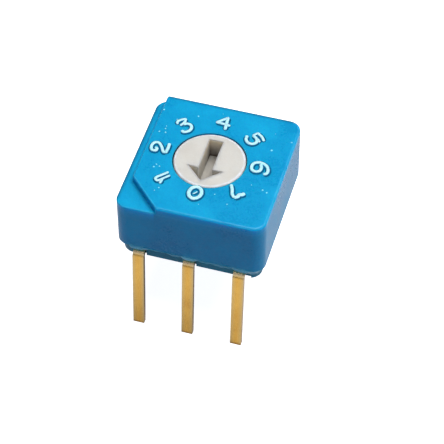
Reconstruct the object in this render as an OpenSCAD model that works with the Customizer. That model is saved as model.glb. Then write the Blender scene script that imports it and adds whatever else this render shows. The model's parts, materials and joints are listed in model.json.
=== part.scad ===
// Subminiature rotary coded switch: a square housing with a keyed corner, a
// screwdriver-set rotor with an arrow slot, eight detented positions and an
// octal code that five leads bring out. +Z is up, the rotor turns about Z, and
// z = 0 is the underside of the base, which seats on the board.

/* [Housing] */
// Width and depth of the square housing
body_w = 7.45; // [7.2:0.05:8]
// Height of the housing above its lower edge
body_h = 3.1; // [3:0.05:4]
// Thickness of the side walls
wall = 0.675; // [0.5:0.025:0.75]
// Thickness of the roof
roof = 1.0; // [0.9:0.05:1.2]
// Radius of the upright corners
corner_r = 0.65; // [0.4:0.05:1]
// Rounding along the top edge
edge_r = 0.12; // [0.05:0.01:0.2]

/* [Keyed corner] */
// Width of the lowered strip along the left side
ledge_w = 0.46; // [0.2:0.02:0.7]
// How far the strip lies below the top
ledge_drop = 0.4; // [0.2:0.05:0.6]
// Length of the corner cut along the front edge
key_front = 1.7; // [0.8:0.02:2]
// Length of the corner cut along the left edge
key_side = 1.72; // [0.8:0.02:2]

/* [Base] */
// Height of the base below the housing
base_h = 0.75; // [0.7:0.05:1.2]
// How far the base stands back from the housing on each side
base_inset = 0.22; // [0.17:0.01:0.3]
// Radius of the base's upright corners
base_corner_r = 0.6; // [0.3:0.05:0.7]
// Thickness of the rim that centres the housing
rim_t = 0.3; // [0.2:0.05:0.4]
// Height of the rim inside the housing
rim_h = 0.5; // [0.3:0.05:0.6]
// Gap between the rim and the housing walls
rim_gap = 0.03; // [0.02:0.01:0.06]
// Diameter of the pivot post
post_d = 0.9; // [0.7:0.05:1]

/* [Rotor] */
// Diameter of the rotor's head
head_d = 3.53; // [3.2:0.01:3.7]
// Radial running clearance of the rotor in its bores
run_gap = 0.05; // [0.02:0.01:0.08]
// Clearance above the rotor's flange and over the post
end_gap = 0.05; // [0.03:0.01:0.1]
// Chamfer round the head's top edge
head_chamfer = 0.08; // [0.04:0.01:0.15]
// Thickness of the detent flange
flange_t = 0.55; // [0.45:0.05:0.65]
// Gap between the flange and the housing walls
flange_gap = 0.25; // [0.2:0.01:0.35]
// Height of the drum below the flange
drum_h = 0.75; // [0.6:0.05:0.85]
// How far the drum stands back from the bottoms of the notches
drum_step = 0.1; // [0.05:0.01:0.2]
// Depth of the socket for the post
socket_depth = 0.75; // [0.5:0.05:0.8]

/* [Arrow slot] */
// Depth of the slot
slot_depth = 1.15; // [0.8:0.05:1.2]
// Width of the arrow's shaft
slot_w = 0.69; // [0.5:0.01:0.8]
// Distance from the axis to the tail end
slot_tail = 1.36; // [1:0.02:1.45]
// Distance from the axis to the point
slot_tip = 1.34; // [1:0.02:1.45]
// Width across the barbs
barb_w = 1.68; // [1.2:0.02:1.8]
// Length of the arrow head
barb_l = 0.8; // [0.5:0.02:1]

/* [Detent] */
// Depth of the detent notches
notch_depth = 0.25; // [0.15:0.01:0.3]
// Radius of the detent notches
notch_r = 0.7; // [0.6:0.05:0.9]
// Thickness of the click springs
click_t = 0.1; // [0.08:0.01:0.12]
// Width of the click springs, measured along Z
click_h = 0.42; // [0.3:0.02:0.44]
// Half the width of the round bump in each click spring
bump_half = 0.52; // [0.4:0.02:0.56]
// Height of that bump
bump_h = 0.45; // [0.35:0.01:0.5]
// Gap that the click springs keep from the notches and the ribs
click_gap = 0.01; // [0.005:0.005:0.02]

/* [Code disc] */
// Thickness of the disc
disc_t = 0.15; // [0.1:0.01:0.2]
// Plastic left round the disc in the drum
disc_edge = 0.09; // [0.05:0.01:0.15]
// Radial width of each code track
track_w = 0.27; // [0.22:0.01:0.29]
// Metal left between two tracks
web = 0.1; // [0.06:0.01:0.11]

/* [Leads] */
// Spacing of the leads in a row
pitch = 2.54; // [2.5:0.01:2.6]
// Width of a lead
lead_w = 0.57; // [0.45:0.01:0.65]
// Thickness of the lead stock
lead_t = 0.25; // [0.2:0.01:0.27]
// Plastic below the leads inside the base
lead_floor = 0.15; // [0.12:0.01:0.2]
// Inside radius of the bend
bend_r = 0.12; // [0.08:0.01:0.15]
// Distance from the base's side to the middle of a lead at z = 0
lead_reach = 0.24; // [0.22:0.01:0.4]
// Outward lean of the leads, in degrees
splay = 4.5; // [0:0.5:6]
// Length of the leads below the base
lead_len = 4.55; // [3:0.05:6]
// Chamfer on the corners of a lead's tip
tip_chamfer = 0.04; // [0.02:0.01:0.1]
// Margin of the relief in the base round each lead
relief_margin = 0.05; // [0.03:0.01:0.1]
// How much further the relief of the lead by the free corner reaches
vent_w = 0.22; // [0.1:0.01:0.25]
// Depth of those reliefs
relief_depth = 0.12; // [0.1:0.01:0.25]

/* [Contact springs] */
// Thickness of the springs
contact_t = 0.1; // [0.06:0.01:0.12]
// Width of the arms
contact_w = 0.34; // [0.26:0.01:0.36]
// Width of the tips
contact_tip_w = 0.2; // [0.14:0.01:0.22]
// Length of an arm from its foot to its tip
arm_l = 1.8; // [1.6:0.05:1.9]
// Length of the welded foot
foot_l = 0.5; // [0.35:0.05:0.55]
// Gap between the tips and the disc
contact_gap = 0.02; // [0.01:0.01:0.04]

/* [Seals] */
// Section of the ring seal round the rotor's head
seal_d = 0.48; // [0.4:0.02:0.5]
// Gap that the ring seal keeps on each side
seal_gap = 0.01; // [0.01:0.005:0.03]
// Size of the resin bead under the housing's edge
bead = 0.16; // [0.1:0.01:0.17]

/* [Hidden] */
$fn = 48;
eps = 0.05;             // overcut of a hole through a face
positions = 8;
step = 360 / positions;

// Levels, from the bottom up
lead_z = lead_floor + lead_t;                   // top of the leads, chamber floor
rim_z = base_h + rim_h;
top_z = base_h + body_h;
roof_z = top_z - roof;
flange_z = roof_z - end_gap;                    // top of the detent flange
drum_z = flange_z - flange_t;                   // top of the drum
disc_z = drum_z - drum_h;                       // underside of drum and code disc
seal_z = flange_z + seal_gap + seal_d / 2;
click_z = drum_z + (flange_t - click_h) / 2;

// Plan sizes
cavity = body_w / 2 - wall;                     // half the housing's inside
base_half = body_w / 2 - base_inset;
rim_half = cavity - rim_gap;
chamber = rim_half - rim_t;                     // half the contact chamber
head_r = head_d / 2;
flange_r = cavity - flange_gap;
drum_r = flange_r - notch_depth - drum_step;
disc_r = drum_r - disc_edge;
seal_r = head_r + seal_gap + seal_d / 2;

// Code tracks, from the outside in: bit 1, bit 2, bit 4, common
function track_r(i) = disc_r - web - track_w / 2 - i * (track_w + web);
r_bit1 = track_r(0);
r_bit2 = track_r(1);
r_bit4 = track_r(2);
r_common = track_r(3);
tip_bit1 = 180;         // where each tip touches, in degrees from +X
tip_bit2 = 90;
tip_bit4 = 270;
tip_common = 0;

// Leads: the bend starts at bend_y, and its middle line has radius bend_mid
bend_mid = bend_r + lead_t / 2;
bend_centre_z = lead_floor - bend_r;
fall = (bend_centre_z + bend_mid * sin(splay)) / cos(splay);
bend_y = base_half + lead_reach - bend_mid * cos(splay) - fall * sin(splay);
leg_l = (lead_len + bend_centre_z + bend_r * sin(splay)) / cos(splay);
lap = 0.1;              // length over which a lead runs into its strip
strip_end = bend_y - lap / 2;
bend_steps = 8;
lead_places = [[-1, -1], [0, -1], [1, -1], [-1, 1], [0, 1]];  // step along the row, and row

// Click springs: radius of the arc that makes the bump, and the line the flat
// arms lie on, measured from the rotor's axis
bump_r = (bump_half * bump_half + bump_h * bump_h) / (2 * bump_h);
click_in = flange_r - notch_depth + click_gap + bump_h;
click_out = click_in + click_t;
click_half = cavity * sqrt(2) - click_out - 2 * click_gap;
rib_d = 0.22;           // how far the spring ribs stand out of the wall
rib_w = 0.3;
rib_start = sqrt(2) * (click_out + click_gap) - (cavity - rib_d);
support_w = 0.5;        // posts on the base's rim under the springs' ends
post_y = sqrt(2) * click_in - (chamber + rim_half) / 2;

pad = foot_l + 0.1;     // width of a terminal under a contact spring's foot
ring_w = 0.35;          // width of the common terminal round the post
relief_top = 0.05;      // height of a lead's relief above the lead
relief_r = 0.15;

blue = [0.09, 0.62, 0.82];
dark_blue = [0.12, 0.36, 0.50];
white = [0.89, 0.88, 0.85];
gold = [0.83, 0.65, 0.33];
steel = [0.72, 0.73, 0.75];

// ---- shapes that several pieces share ----

module rounded_square(half, r) {
    square([2 * half, 2 * (half - r)], center = true);
    square([2 * (half - r), 2 * half], center = true);
    for (x = [-1, 1], y = [-1, 1])
        translate([x * (half - r), y * (half - r)]) circle(r);
}

// Carries a profile round a rounded square. The profile's x is measured
// outwards from the side, and its y is the height.
module square_sweep(half, r) {
    for (a = [0:90:270]) rotate([0, 0, a]) {
        translate([half, half - r, 0]) rotate([90, 0, 0])
            linear_extrude(2 * (half - r)) children();
        translate([half - r, half - r, 0])
            rotate_extrude(angle = 90) translate([r, 0]) children();
    }
}

// ---- housing ----

module top_plate_cut() {
    left = -body_w / 2;
    front = -body_w / 2;
    reach = 2 * eps;
    translate([0, 0, top_z - ledge_drop]) linear_extrude(ledge_drop + eps)
        polygon([
            [left - reach, front - reach],
            [left + ledge_w + key_front + reach * key_front / key_side, front - reach],
            [left + ledge_w, front + key_side],
            [left + ledge_w, -front + reach],
            [left - reach, -front + reach]]);
}

// Ribs on the inside walls that a click spring's ends bear against
module spring_ribs() {
    for (a = [90, -90]) rotate([0, 0, a]) {
        spring_rib();
        mirror([1, -1, 0]) spring_rib();
    }
}
module spring_rib() {
    translate([cavity - rib_d, rib_start, click_z])
        cube([rib_d + wall / 2, rib_w, roof_z - click_z + wall / 2]);
}

module housing() {
    color(blue) {
        difference() {
            translate([0, 0, base_h]) linear_extrude(body_h)
                rounded_square(body_w / 2, corner_r);
            translate([0, 0, top_z - edge_r]) square_sweep(body_w / 2, corner_r)
                difference() {
                    translate([-edge_r, 0]) square([edge_r + eps, edge_r + eps]);
                    translate([-edge_r, 0]) circle(edge_r);
                }
            top_plate_cut();
            translate([0, 0, base_h - eps]) linear_extrude(roof_z - base_h + eps)
                rounded_square(cavity, corner_r / 2);
            translate([0, 0, flange_z])
                cylinder(r = seal_r + seal_d / 2 + 2 * seal_gap, h = seal_d + 2 * seal_gap);
            cylinder(r = head_r + run_gap, h = top_z + eps);
        }
        spring_ribs();
    }
}

// ---- rotor and what it carries ----

module o_ring() {
    color("dimgray") translate([0, 0, seal_z])
        rotate_extrude() translate([seal_r, 0]) circle(d = seal_d);
}

// One track's windows: sectors where its bit is off, seen from the tip's angle
module track_windows(bit, r, tip_angle) {
    for (i = [0:positions / (2 * bit) - 1])
        rotate([0, 0, tip_angle + step * (2 * bit * i - 0.5)])
            rotate_extrude(angle = step * bit)
                translate([r - track_w / 2, -eps]) square([track_w, disc_t + 2 * eps]);
}

module disc_blank() {
    difference() {
        cylinder(r = disc_r, h = disc_t);
        translate([0, 0, -eps]) cylinder(r = r_common - track_w / 2 - web / 2, h = disc_t + 2 * eps);
        track_windows(1, r_bit1, tip_bit1);
        track_windows(2, r_bit2, tip_bit2);
        track_windows(4, r_bit4, tip_bit4);
    }
}

module code_disc() {
    color(gold) translate([0, 0, disc_z]) disc_blank();
}

module arrow() {
    polygon([
        [-slot_w / 2, slot_tail], [slot_w / 2, slot_tail],
        [slot_w / 2, barb_l - slot_tip], [barb_w / 2, barb_l - slot_tip],
        [0, -slot_tip],
        [-barb_w / 2, barb_l - slot_tip], [-slot_w / 2, barb_l - slot_tip]]);
}

module rotor() {
    color(white) difference() {
        rotate_extrude() polygon([
            [0, disc_z], [drum_r, disc_z], [drum_r, drum_z],
            [flange_r, drum_z], [flange_r, flange_z], [head_r, flange_z],
            [head_r, top_z - head_chamfer], [head_r - head_chamfer, top_z], [0, top_z]]);
        for (i = [0:positions - 1]) rotate([0, 0, i * step])
            translate([flange_r - notch_depth + notch_r, 0, drum_z - eps])
                cylinder(r = notch_r, h = flange_t + 2 * eps);
        translate([0, 0, top_z - slot_depth]) linear_extrude(slot_depth + eps) arrow();
        translate([0, 0, disc_z - eps])
            cylinder(r = post_d / 2 + run_gap, h = socket_depth + eps);
        translate([0, 0, disc_z]) disc_blank();
    }
}

// A leaf across a corner of the housing with a round bump towards the rotor
module click_spring(angle) {
    color(steel) rotate([0, 0, angle]) translate([click_in, 0, click_z])
        linear_extrude(click_h) {
            for (s = [-1, 1])
                translate([0, s > 0 ? bump_half - click_t / 2 : -click_half])
                    square([click_t, click_half - bump_half + click_t / 2]);
            intersection() {
                translate([bump_r - bump_h, 0]) difference() {
                    circle(bump_r);
                    circle(bump_r - click_t);
                }
                translate([-bump_h - eps, -bump_r]) square([bump_h + eps + click_t, 2 * bump_r]);
            }
        }
}
module click_spring_left() { click_spring(135); }
module click_spring_right() { click_spring(-45); }

// ---- contact springs ----

// Side view of an arm: a flat foot that ends at the origin, then a climb along
// +X that is tangent to a curl, whose crown touches the disc. The outline is
// the middle line moved half a thickness to each side.
curl_r = 0.22;
foot_mid = lead_z + contact_t / 2;
crown_mid = disc_z - contact_gap - contact_t / 2;
rise = crown_mid - curl_r - foot_mid;
climb = atan2(rise, arm_l) + asin(curl_r / norm([arm_l, rise]));
curl_end = 30;
curl_steps = 8;

function arm_side(side) = concat(
    [[-foot_l, foot_mid + side], [-side * tan(climb / 2), foot_mid + side]],
    [for (i = [0:curl_steps])
        let (a = 90 + climb + (curl_end - 90 - climb) * i / curl_steps)
        [arm_l + (curl_r + side) * cos(a), crown_mid - curl_r + (curl_r + side) * sin(a)]]);
function backwards(v) = [for (i = [len(v) - 1:-1:0]) v[i]];

// The arm runs along its track's tangent, clockwise, and its crown lies on the
// track at the tip's angle
module contact_spring(tip_angle, r) {
    color(gold) rotate([0, 0, tip_angle]) translate([r, arm_l, 0]) rotate([90, 0, -90])
        difference() {
            linear_extrude(contact_w, center = true)
                polygon(concat(arm_side(contact_t / 2), backwards(arm_side(-contact_t / 2))));
            for (m = [-1, 1])
                translate([arm_l, crown_mid, m * (contact_tip_w + contact_w) / 2])
                    cube([4 * curl_r, 4 * curl_r, contact_w], center = true);
        }
}
module contact_spring_1() { contact_spring(tip_bit1, r_bit1); }
module contact_spring_2() { contact_spring(tip_bit2, r_bit2); }
module contact_spring_4() { contact_spring(tip_bit4, r_bit4); }
module contact_spring_common() { contact_spring(tip_common, r_common); }

// ---- terminals ----

// Points of an arc round the bend's centre, seen from the side
function bend_arc(r) = [for (i = [0:bend_steps])
    let (a = 90 + (splay - 90) * i / bend_steps) [r * cos(a), r * sin(a)]];

// The outer end of a terminal on the +Y side, as one outline seen from the
// side: the strip's end, a bend and a leg splayed outwards
module lead_side() {
    end = leg_l * [sin(splay), -cos(splay)];
    polygon(concat([[-lap, bend_r]], bend_arc(bend_r),
        [bend_arc(bend_r)[bend_steps] + end, bend_arc(bend_r + lead_t)[bend_steps] + end],
        backwards(bend_arc(bend_r + lead_t)), [[-lap, bend_r + lead_t]]));
}

module lead() {
    difference() {
        translate([0, bend_y, bend_centre_z]) rotate([90, 0, 90])
            linear_extrude(lead_w, center = true) lead_side();
        for (m = [-1, 1]) translate([m * lead_w / 2, bend_y, -lead_len])
            rotate([0, 45, 0]) cube([tip_chamfer * sqrt(2), 4 * lead_reach, tip_chamfer * sqrt(2)], center = true);
    }
}

// Middle of a contact spring's foot in plan
function foot_at(tip_angle, r) =
    let (l = arm_l + foot_l / 2)
    [r * cos(tip_angle) - l * sin(tip_angle), r * sin(tip_angle) + l * cos(tip_angle)];

// Plan of a terminal inside the base: a strip from the lead to the level of
// the foot, and a bar across to it. row is 1 for the +Y leads, -1 for the others.
module strip_plan(x, row, foot) {
    inner = foot[1] - row * pad / 2;
    low = min(x - lead_w / 2, foot[0] - pad / 2);
    high = max(x + lead_w / 2, foot[0] + pad / 2);
    translate([x - lead_w / 2, min(row * strip_end, inner)])
        square([lead_w, abs(row * strip_end - inner)]);
    translate([low, foot[1] - pad / 2]) square([high - low, pad]);
}

module plan_1() { strip_plan(-pitch, -1, foot_at(tip_bit1, r_bit1)); }
module plan_2() { strip_plan(-pitch, 1, foot_at(tip_bit2, r_bit2)); }
module plan_4() { strip_plan(pitch, -1, foot_at(tip_bit4, r_bit4)); }

// The common terminal joins both middle leads round the post
module plan_common() {
    foot = foot_at(tip_common, r_common);
    difference() {
        union() {
            square([lead_w, 2 * strip_end], center = true);
            circle(post_d / 2 + ring_w);
            translate([0, foot[1] - pad / 2]) square([foot[0] + pad / 2, pad]);
        }
        circle(post_d / 2);
    }
}

// A terminal: its plan given as a child, and a lead at each [x, row] of ends
module terminal(ends) {
    color(gold) {
        translate([0, 0, lead_floor]) linear_extrude(lead_t) children();
        for (e = ends) translate([e[0], 0, 0])
            mirror([0, e[1] < 0 ? 1 : 0, 0]) lead();
    }
}
module terminal_1() { terminal([[-pitch, -1]]) plan_1(); }
module terminal_2() { terminal([[-pitch, 1]]) plan_2(); }
module terminal_4() { terminal([[pitch, -1]]) plan_4(); }
module terminal_common() { terminal([[0, -1], [0, 1]]) plan_common(); }

// ---- base ----

// Posts on the rim that carry the ends of the click springs
module spring_post() {
    translate([chamber, post_y - support_w / 2, rim_z - eps])
        cube([rim_t, support_w, click_z - click_gap - rim_z + eps]);
}

// Arched relief in the side of the base round a lead, carried on by extra
module relief(extra) {
    left = -lead_w / 2 - relief_margin;
    width = lead_w + 2 * relief_margin + extra;
    height = lead_z + relief_top;
    translate([0, base_half + eps, 0]) rotate([90, 0, 0]) linear_extrude(relief_depth + eps) {
        translate([left, -eps]) square([width, height - relief_r + eps]);
        translate([left + relief_r, -eps]) square([width - 2 * relief_r, height + eps]);
        for (x = [left + relief_r, left + width - relief_r])
            translate([x, height - relief_r]) circle(relief_r);
    }
}

module base() {
    color(dark_blue) {
        difference() {
            union() {
                linear_extrude(base_h) rounded_square(base_half, base_corner_r);
                linear_extrude(rim_z) rounded_square(rim_half, corner_r / 2);
            }
            translate([0, 0, lead_z]) linear_extrude(rim_z)
                rounded_square(chamber, corner_r / 3);
            translate([0, 0, lead_floor]) linear_extrude(lead_t) {
                plan_1();
                plan_2();
                plan_4();
                plan_common();
            }
            for (l = lead_places) translate([l[0] * pitch, 0, 0])
                mirror([0, l[1] < 0 ? 1 : 0, 0]) relief(l == [1, -1] ? vent_w : 0);
        }
        translate([0, 0, lead_floor])
            cylinder(d = post_d, h = disc_z + socket_depth - end_gap - lead_floor);
        for (a = [90, -90]) rotate([0, 0, a]) {
            spring_post();
            mirror([1, -1, 0]) spring_post();
        }
    }
}

// Sealing resin drawn into the corner under the housing's edge
module sealing_bead() {
    color(dark_blue) translate([0, 0, base_h - bead])
        square_sweep(base_half, base_corner_r)
            polygon([[0, 0], [bead, bead], [0, bead]]);
}

housing();
o_ring();
rotor();
code_disc();
click_spring_left();
click_spring_right();
contact_spring_1();
contact_spring_2();
contact_spring_4();
contact_spring_common();
terminal_1();
terminal_2();
terminal_4();
terminal_common();
base();
sealing_bead();
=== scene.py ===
import json
import math

import bmesh
import bpy
import numpy as np
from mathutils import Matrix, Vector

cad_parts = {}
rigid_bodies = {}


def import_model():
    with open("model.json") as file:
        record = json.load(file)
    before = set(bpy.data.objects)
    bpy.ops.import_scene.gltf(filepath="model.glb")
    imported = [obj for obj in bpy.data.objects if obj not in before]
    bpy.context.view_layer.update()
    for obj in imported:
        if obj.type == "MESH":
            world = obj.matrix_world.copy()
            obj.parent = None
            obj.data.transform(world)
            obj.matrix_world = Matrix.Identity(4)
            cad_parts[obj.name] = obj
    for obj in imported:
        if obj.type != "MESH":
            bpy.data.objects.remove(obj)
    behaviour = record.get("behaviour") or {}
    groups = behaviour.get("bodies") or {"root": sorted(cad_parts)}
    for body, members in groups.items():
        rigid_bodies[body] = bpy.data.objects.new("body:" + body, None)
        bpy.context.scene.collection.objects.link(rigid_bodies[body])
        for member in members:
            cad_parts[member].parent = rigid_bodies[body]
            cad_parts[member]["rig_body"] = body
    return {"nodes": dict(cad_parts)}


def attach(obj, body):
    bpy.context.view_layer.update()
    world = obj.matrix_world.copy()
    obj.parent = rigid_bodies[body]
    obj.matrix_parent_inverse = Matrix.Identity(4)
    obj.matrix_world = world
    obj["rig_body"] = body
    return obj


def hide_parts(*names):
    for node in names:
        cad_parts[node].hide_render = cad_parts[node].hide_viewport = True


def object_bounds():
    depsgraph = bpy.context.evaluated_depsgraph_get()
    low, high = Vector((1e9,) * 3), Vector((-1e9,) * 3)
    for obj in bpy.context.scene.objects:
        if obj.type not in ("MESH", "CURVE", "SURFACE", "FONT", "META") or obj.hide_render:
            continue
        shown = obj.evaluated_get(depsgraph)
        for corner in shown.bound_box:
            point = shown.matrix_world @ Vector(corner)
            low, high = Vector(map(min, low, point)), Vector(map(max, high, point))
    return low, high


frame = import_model()
cadLow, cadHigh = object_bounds()
mm = 0.001
scene = bpy.context.scene
print("frame loaded:", len(frame["nodes"]), "CAD nodes")


def newGroup(name, inputs, outputs):
    # a node group with named float inputs (name: default) and named outputs (name: socket type)
    group = bpy.data.node_groups.new(name, "ShaderNodeTree")
    for key, value in inputs.items():
        socket = group.interface.new_socket(name=key, in_out="INPUT", socket_type="NodeSocketFloat")
        socket.default_value = value
    for key, kind in outputs.items():
        group.interface.new_socket(name=key, in_out="OUTPUT", socket_type=kind)
    return group, group.nodes.new("NodeGroupInput"), group.nodes.new("NodeGroupOutput")


def addNode(tree, kind, inputs=None, **settings):
    # a node with its settings; inputs that are sockets get linked, and other values are set
    node = tree.nodes.new(kind)
    for key, value in settings.items():
        setattr(node, key, value)
    for key, value in (inputs or {}).items():
        if isinstance(value, bpy.types.NodeSocket):
            tree.links.new(value, node.inputs[key])
        else:
            node.inputs[key].default_value = value
    return node


def addMath(tree, operation, first, second=0.0, clamp=False):
    node = addNode(tree, "ShaderNodeMath", {0: first, 1: second}, operation=operation, use_clamp=clamp)
    return node.outputs[0]


def addRange(tree, value, fromMin, fromMax, toMin=0.0, toMax=1.0):
    node = addNode(tree, "ShaderNodeMapRange", {
        "Value": value, "From Min": fromMin, "From Max": fromMax, "To Min": toMin, "To Max": toMax})
    return node.outputs["Result"]


def addNoise(tree, vector, scale, detail=2.0, roughness=0.5):
    node = addNode(tree, "ShaderNodeTexNoise", {
        "Vector": vector, "Scale": scale, "Detail": detail, "Roughness": roughness})
    return node.outputs["Fac"]


def addMix(tree, factor, first, second):
    # a mix of two colours; a Mix node keeps its colour inputs at 6 and 7 and its colour output at 2
    node = addNode(tree, "ShaderNodeMix", {0: factor, 6: first, 7: second}, data_type="RGBA")
    return node.outputs[2]


def meshMask(tree, name):
    # a value that the mesh holds on its points or faces, and nothing where it holds none
    return addNode(tree, "ShaderNodeAttribute", attribute_name=name).outputs["Fac"]


def objectPlace(tree):
    return addNode(tree, "ShaderNodeTexCoord").outputs["Object"]


def mouldedGrainGroup():
    # fine skin of moulded plastic: small noise for the height, and mostly wide noise for cloudy colour
    wideShare = 0.7
    fineShare = 0.3
    group, given, put = newGroup(
        "mouldedGrain", {"Grain": 9000.0, "Cloud": 500.0},
        {"Height": "NodeSocketFloat", "Cloudiness": "NodeSocketFloat"})
    place = objectPlace(group)
    fine = addNoise(group, place, given.outputs["Grain"], detail=3.0, roughness=0.6)
    wide = addNoise(group, place, given.outputs["Cloud"], detail=3.0, roughness=0.55)
    wideClouds = addMath(group, "MULTIPLY", wide, wideShare)
    mottled = addMath(group, "ADD", wideClouds, addMath(group, "MULTIPLY", fine, fineShare))
    group.links.new(fine, put.inputs["Height"])
    group.links.new(addRange(group, mottled, fromMin=0.36, fromMax=0.64), put.inputs["Cloudiness"])
    return group


def edgeWearAndHighlightGroup():
    # painted highlight along edges, with some wear: the mesh's own edge mask, broken up by noise so that it
    # doesn't run evenly
    group, given, put = newGroup(
        "edgeWearAndHighlight", {"Amount": 0.5, "Breakup": 1500.0}, {"Mask": "NodeSocketFloat"})
    noise = addNoise(group, objectPlace(group), given.outputs["Breakup"])
    broken = addRange(group, noise, fromMin=0.35, fromMax=0.65, toMin=0.35)
    patchy = addMath(group, "MULTIPLY", meshMask(group, "edge"), broken)
    worn = addMath(group, "MULTIPLY", patchy, given.outputs["Amount"], clamp=True)
    group.links.new(worn, put.inputs["Mask"])
    return group


def paintedShadeGroup():
    # painted shade in gaps and slots: the mesh's own painted shade mask, slightly clouded
    group, given, put = newGroup("painted_shade", {"Breakup": 1800.0}, {"Mask": "NodeSocketFloat"})
    noise = addNoise(group, objectPlace(group), given.outputs["Breakup"], detail=3.0)
    clouded = addRange(group, noise, fromMin=0.3, fromMax=0.7, toMin=0.8, toMax=1.05)
    mask = addMath(group, "MULTIPLY", meshMask(group, "painted_shade"), clouded, clamp=True)
    group.links.new(mask, put.inputs["Mask"])
    return group


def dustGroup():
    # sparse pale specks: the middles of scattered cells, each speck with its own size
    group, given, put = newGroup(
        "dust", {"Spacing": 1400.0, "Amount": 0.5}, {"Mask": "NodeSocketFloat"})
    cell = addNode(group, "ShaderNodeTexVoronoi", {
        "Vector": objectPlace(group), "Scale": given.outputs["Spacing"]})
    size = addRange(group, cell.outputs["Color"], fromMin=0.7, fromMax=1.0, toMax=0.16)
    speck = addMath(group, "LESS_THAN", cell.outputs["Distance"], size)
    group.links.new(addMath(group, "MULTIPLY", speck, given.outputs["Amount"]), put.inputs["Mask"])
    return group


def drawnMetalGroup():
    # long fine streaks from rolling and blanking, from noise that is stretched along the lead, and wide
    # patches of tarnish
    patchScale = 900.0
    group, given, put = newGroup(
        "drawnMetal", {"Streaks": 9000.0, "Stretch": 0.06},
        {"Streak": "NodeSocketFloat", "Tarnish": "NodeSocketFloat"})
    place = objectPlace(group)
    parts = addNode(group, "ShaderNodeSeparateXYZ", {0: place})
    along = addMath(group, "MULTIPLY", parts.outputs["Z"], given.outputs["Stretch"])
    stretched = addNode(group, "ShaderNodeCombineXYZ", {
        "X": parts.outputs["X"], "Y": parts.outputs["Y"], "Z": along}).outputs[0]
    patches = addNoise(group, place, patchScale, detail=3.0, roughness=0.6)
    group.links.new(addNoise(group, stretched, given.outputs["Streaks"]), put.inputs["Streak"])
    group.links.new(addRange(group, patches, fromMin=0.35, fromMax=0.7), put.inputs["Tarnish"])
    return group


moulded = mouldedGrainGroup()
edgeWearAndHighlight = edgeWearAndHighlightGroup()
dustSpecks = dustGroup()
paintedShade = paintedShadeGroup()
drawnMetal = drawnMetalGroup()


def useGroup(tree, group, **inputs):
    # a group placed in a tree with its own values
    return addNode(tree, "ShaderNodeGroup", inputs, node_tree=group)


def newMaterial(name):
    material = bpy.data.materials.new(name)
    material.use_nodes = True
    tree = material.node_tree
    return material, tree, tree.nodes["Principled BSDF"]


def rgb(red, green, blue):
    # a colour given in display values from 0 to 255, as the linear value that shaders take
    shown = np.array([red, green, blue]) / 255
    linear = np.where(shown <= 0.04045, shown / 12.92, ((shown + 0.055) / 1.055) ** 2.4)
    return (*linear.tolist(), 1.0)


def setSkin(tree, shader, look, height, gloss):
    # bump from the height, and a roughness that varies by the look's spread with the gloss mask
    rough = addRange(tree, gloss, *look["glossRange"], look["roughness"] - look["roughSpread"],
                     look["roughness"] + look["roughSpread"])
    tree.links.new(rough, shader.inputs["Roughness"])
    bump = addNode(tree, "ShaderNodeBump", {
        "Height": height, "Strength": look["bump"], "Distance": look["bumpDepth"]})
    tree.links.new(bump.outputs[0], shader.inputs["Normal"])


# what a look has unless it says otherwise; blue light travels furthest in blue plastic
plainPlastic = {"glossRange": (0.0, 1.0), "roughSpread": 0.05, "bumpDepth": 0.00003, "scatter": 0.0,
                "scatterDepth": 0.0001, "scatterReach": (0.3, 0.7, 1.0)}
plainMetal = {"glossRange": (0.3, 0.7), "roughSpread": 0.06, "bumpDepth": 0.00002}


def plasticFinish(name, look):
    # cloudy base colour with a fine moulded skin and dust; a look that names the colours for it gets a pale
    # painted highlight on its edges, broken up like wear, a painted glow where light would come through the
    # plastic, and painted shade in gaps and slots
    look = {**plainPlastic, **look}
    material, tree, shader = newMaterial(name)
    grain = useGroup(tree, moulded, Grain=look["grain"], Cloud=look["cloud"])
    colour = addMix(tree, grain.outputs["Cloudiness"], look["colour"], look["cloudColour"])
    if "edgeHighlightColour" in look:
        edgeHighlight = useGroup(tree, edgeWearAndHighlight, Amount=look["edgeHighlight"], Breakup=look["breakup"])
        colour = addMix(tree, edgeHighlight.outputs["Mask"], colour, look["edgeHighlightColour"])
    dust = useGroup(tree, dustSpecks, Spacing=look["dustSpacing"], Amount=look["dust"])
    colour = addMix(tree, dust.outputs["Mask"], colour, look["dustColour"])
    # painted glow, then painted shade, from the mesh's own masks
    if "paintedGlowColour" in look:
        colour = addMix(tree, meshMask(tree, "painted_glow"), colour, look["paintedGlowColour"])
    if "paintedShadeColour" in look:
        painted_shade = useGroup(tree, paintedShade, Breakup=look["breakup"])
        colour = addMix(tree, painted_shade.outputs["Mask"], colour, look["paintedShadeColour"])
    tree.links.new(colour, shader.inputs["Base Color"])
    shader.inputs["Specular IOR Level"].default_value = look["specular"]
    shader.inputs["Subsurface Weight"].default_value = look["scatter"]
    shader.inputs["Subsurface Scale"].default_value = look["scatterDepth"]
    shader.inputs["Subsurface Radius"].default_value = look["scatterReach"]
    setSkin(tree, shader, look, grain.outputs["Height"], grain.outputs["Cloudiness"])
    return material


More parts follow.
